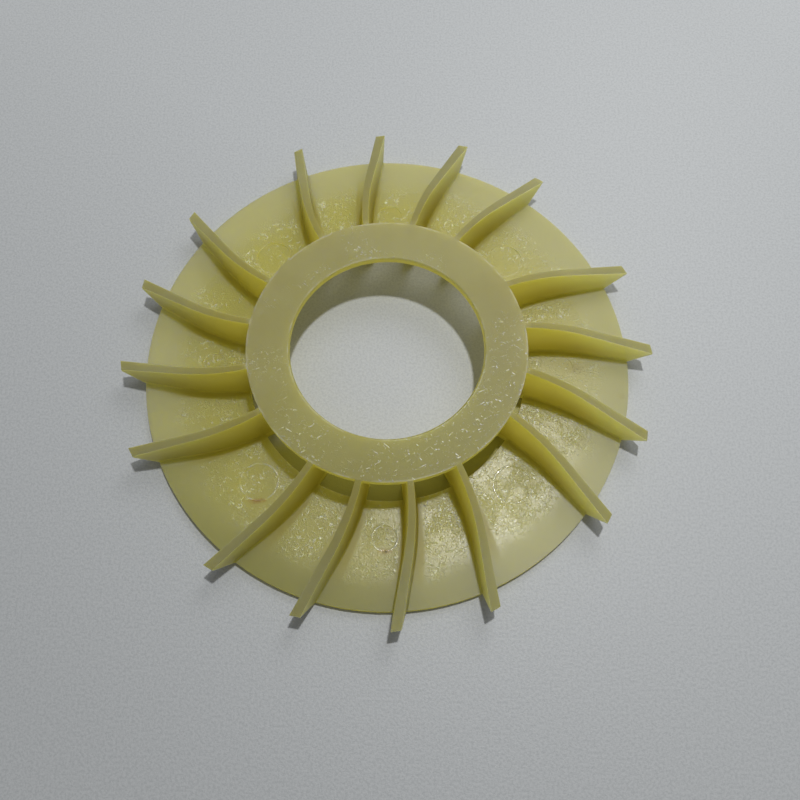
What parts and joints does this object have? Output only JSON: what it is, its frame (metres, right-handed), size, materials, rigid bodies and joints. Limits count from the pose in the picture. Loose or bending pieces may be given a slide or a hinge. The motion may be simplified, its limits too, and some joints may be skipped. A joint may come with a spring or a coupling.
{
  "type": "scooter cooling fan",
  "caption": "One-piece moulded cooling fan: swept vanes on a thin flat disc carry a raised flat hub ring round a large bore.",
  "frame": {"origin": "on the fan's axis, in the plane of the disc's underside", "axes": "+Z along the axis from the disc towards the hub ring; +X midway between the two middle vane roots of a group"},
  "size_m": [0.1298, 0.1298, 0.0146],
  "materials": {
    "nylon": "natural translucent nylon, as moulded"
  },
  "bodies": {
    "root": {"fan": "nylon"}
  },
  "joints": []
}
